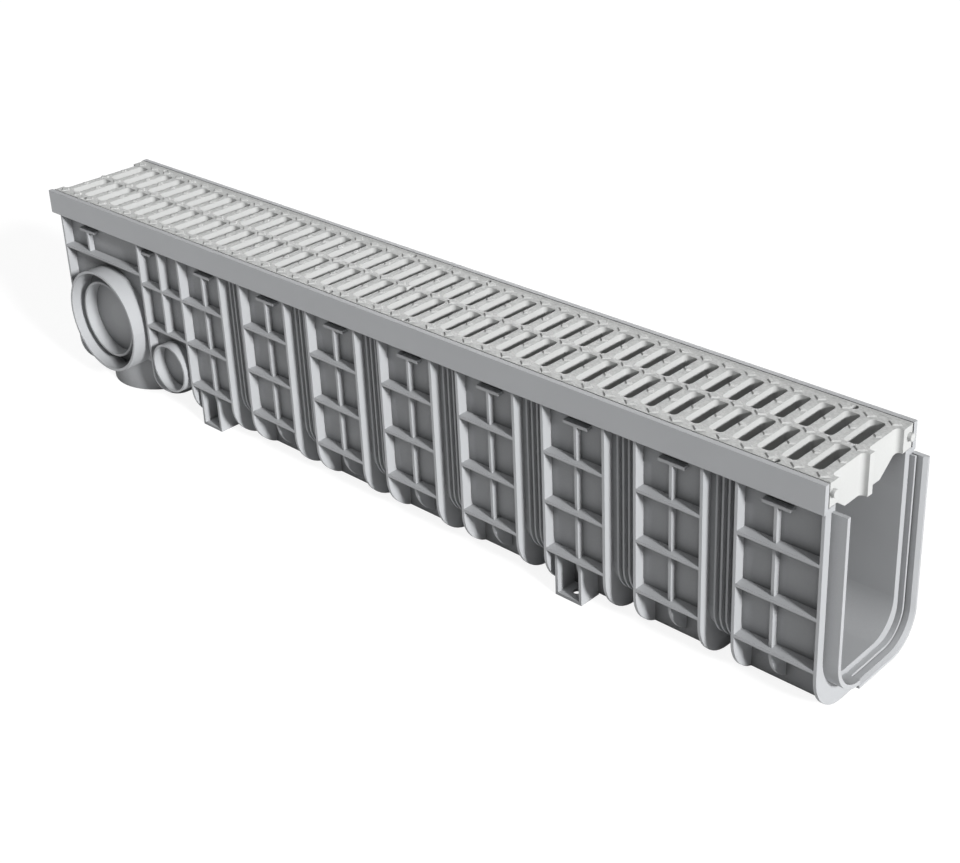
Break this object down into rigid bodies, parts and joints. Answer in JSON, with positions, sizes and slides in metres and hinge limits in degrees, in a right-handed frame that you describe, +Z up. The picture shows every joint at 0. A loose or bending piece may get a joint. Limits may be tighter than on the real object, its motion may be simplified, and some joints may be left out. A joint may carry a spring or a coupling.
{
  "type": "channel drain",
  "caption": "Linear drainage channel: a ribbed moulded trough with pipe sockets at one end, a joint at the other and flush slotted gratings on its seat.",
  "frame": {"origin": "on the ground, midway along and across the overall size of the channel", "axes": "+X along the channel, towards the end with the joint lips; +Y across it, away from the side with the tongue; +Z up through the gratings"},
  "size_m": [1.014, 0.15, 0.215],
  "materials": {
    "grey_plastic": "matt, with a fine moulded grain"
  },
  "bodies": {
    "root": {"channel_body": "grey_plastic", "grating_1": "grey_plastic", "grating_2": "grey_plastic"}
  },
  "joints": []
}
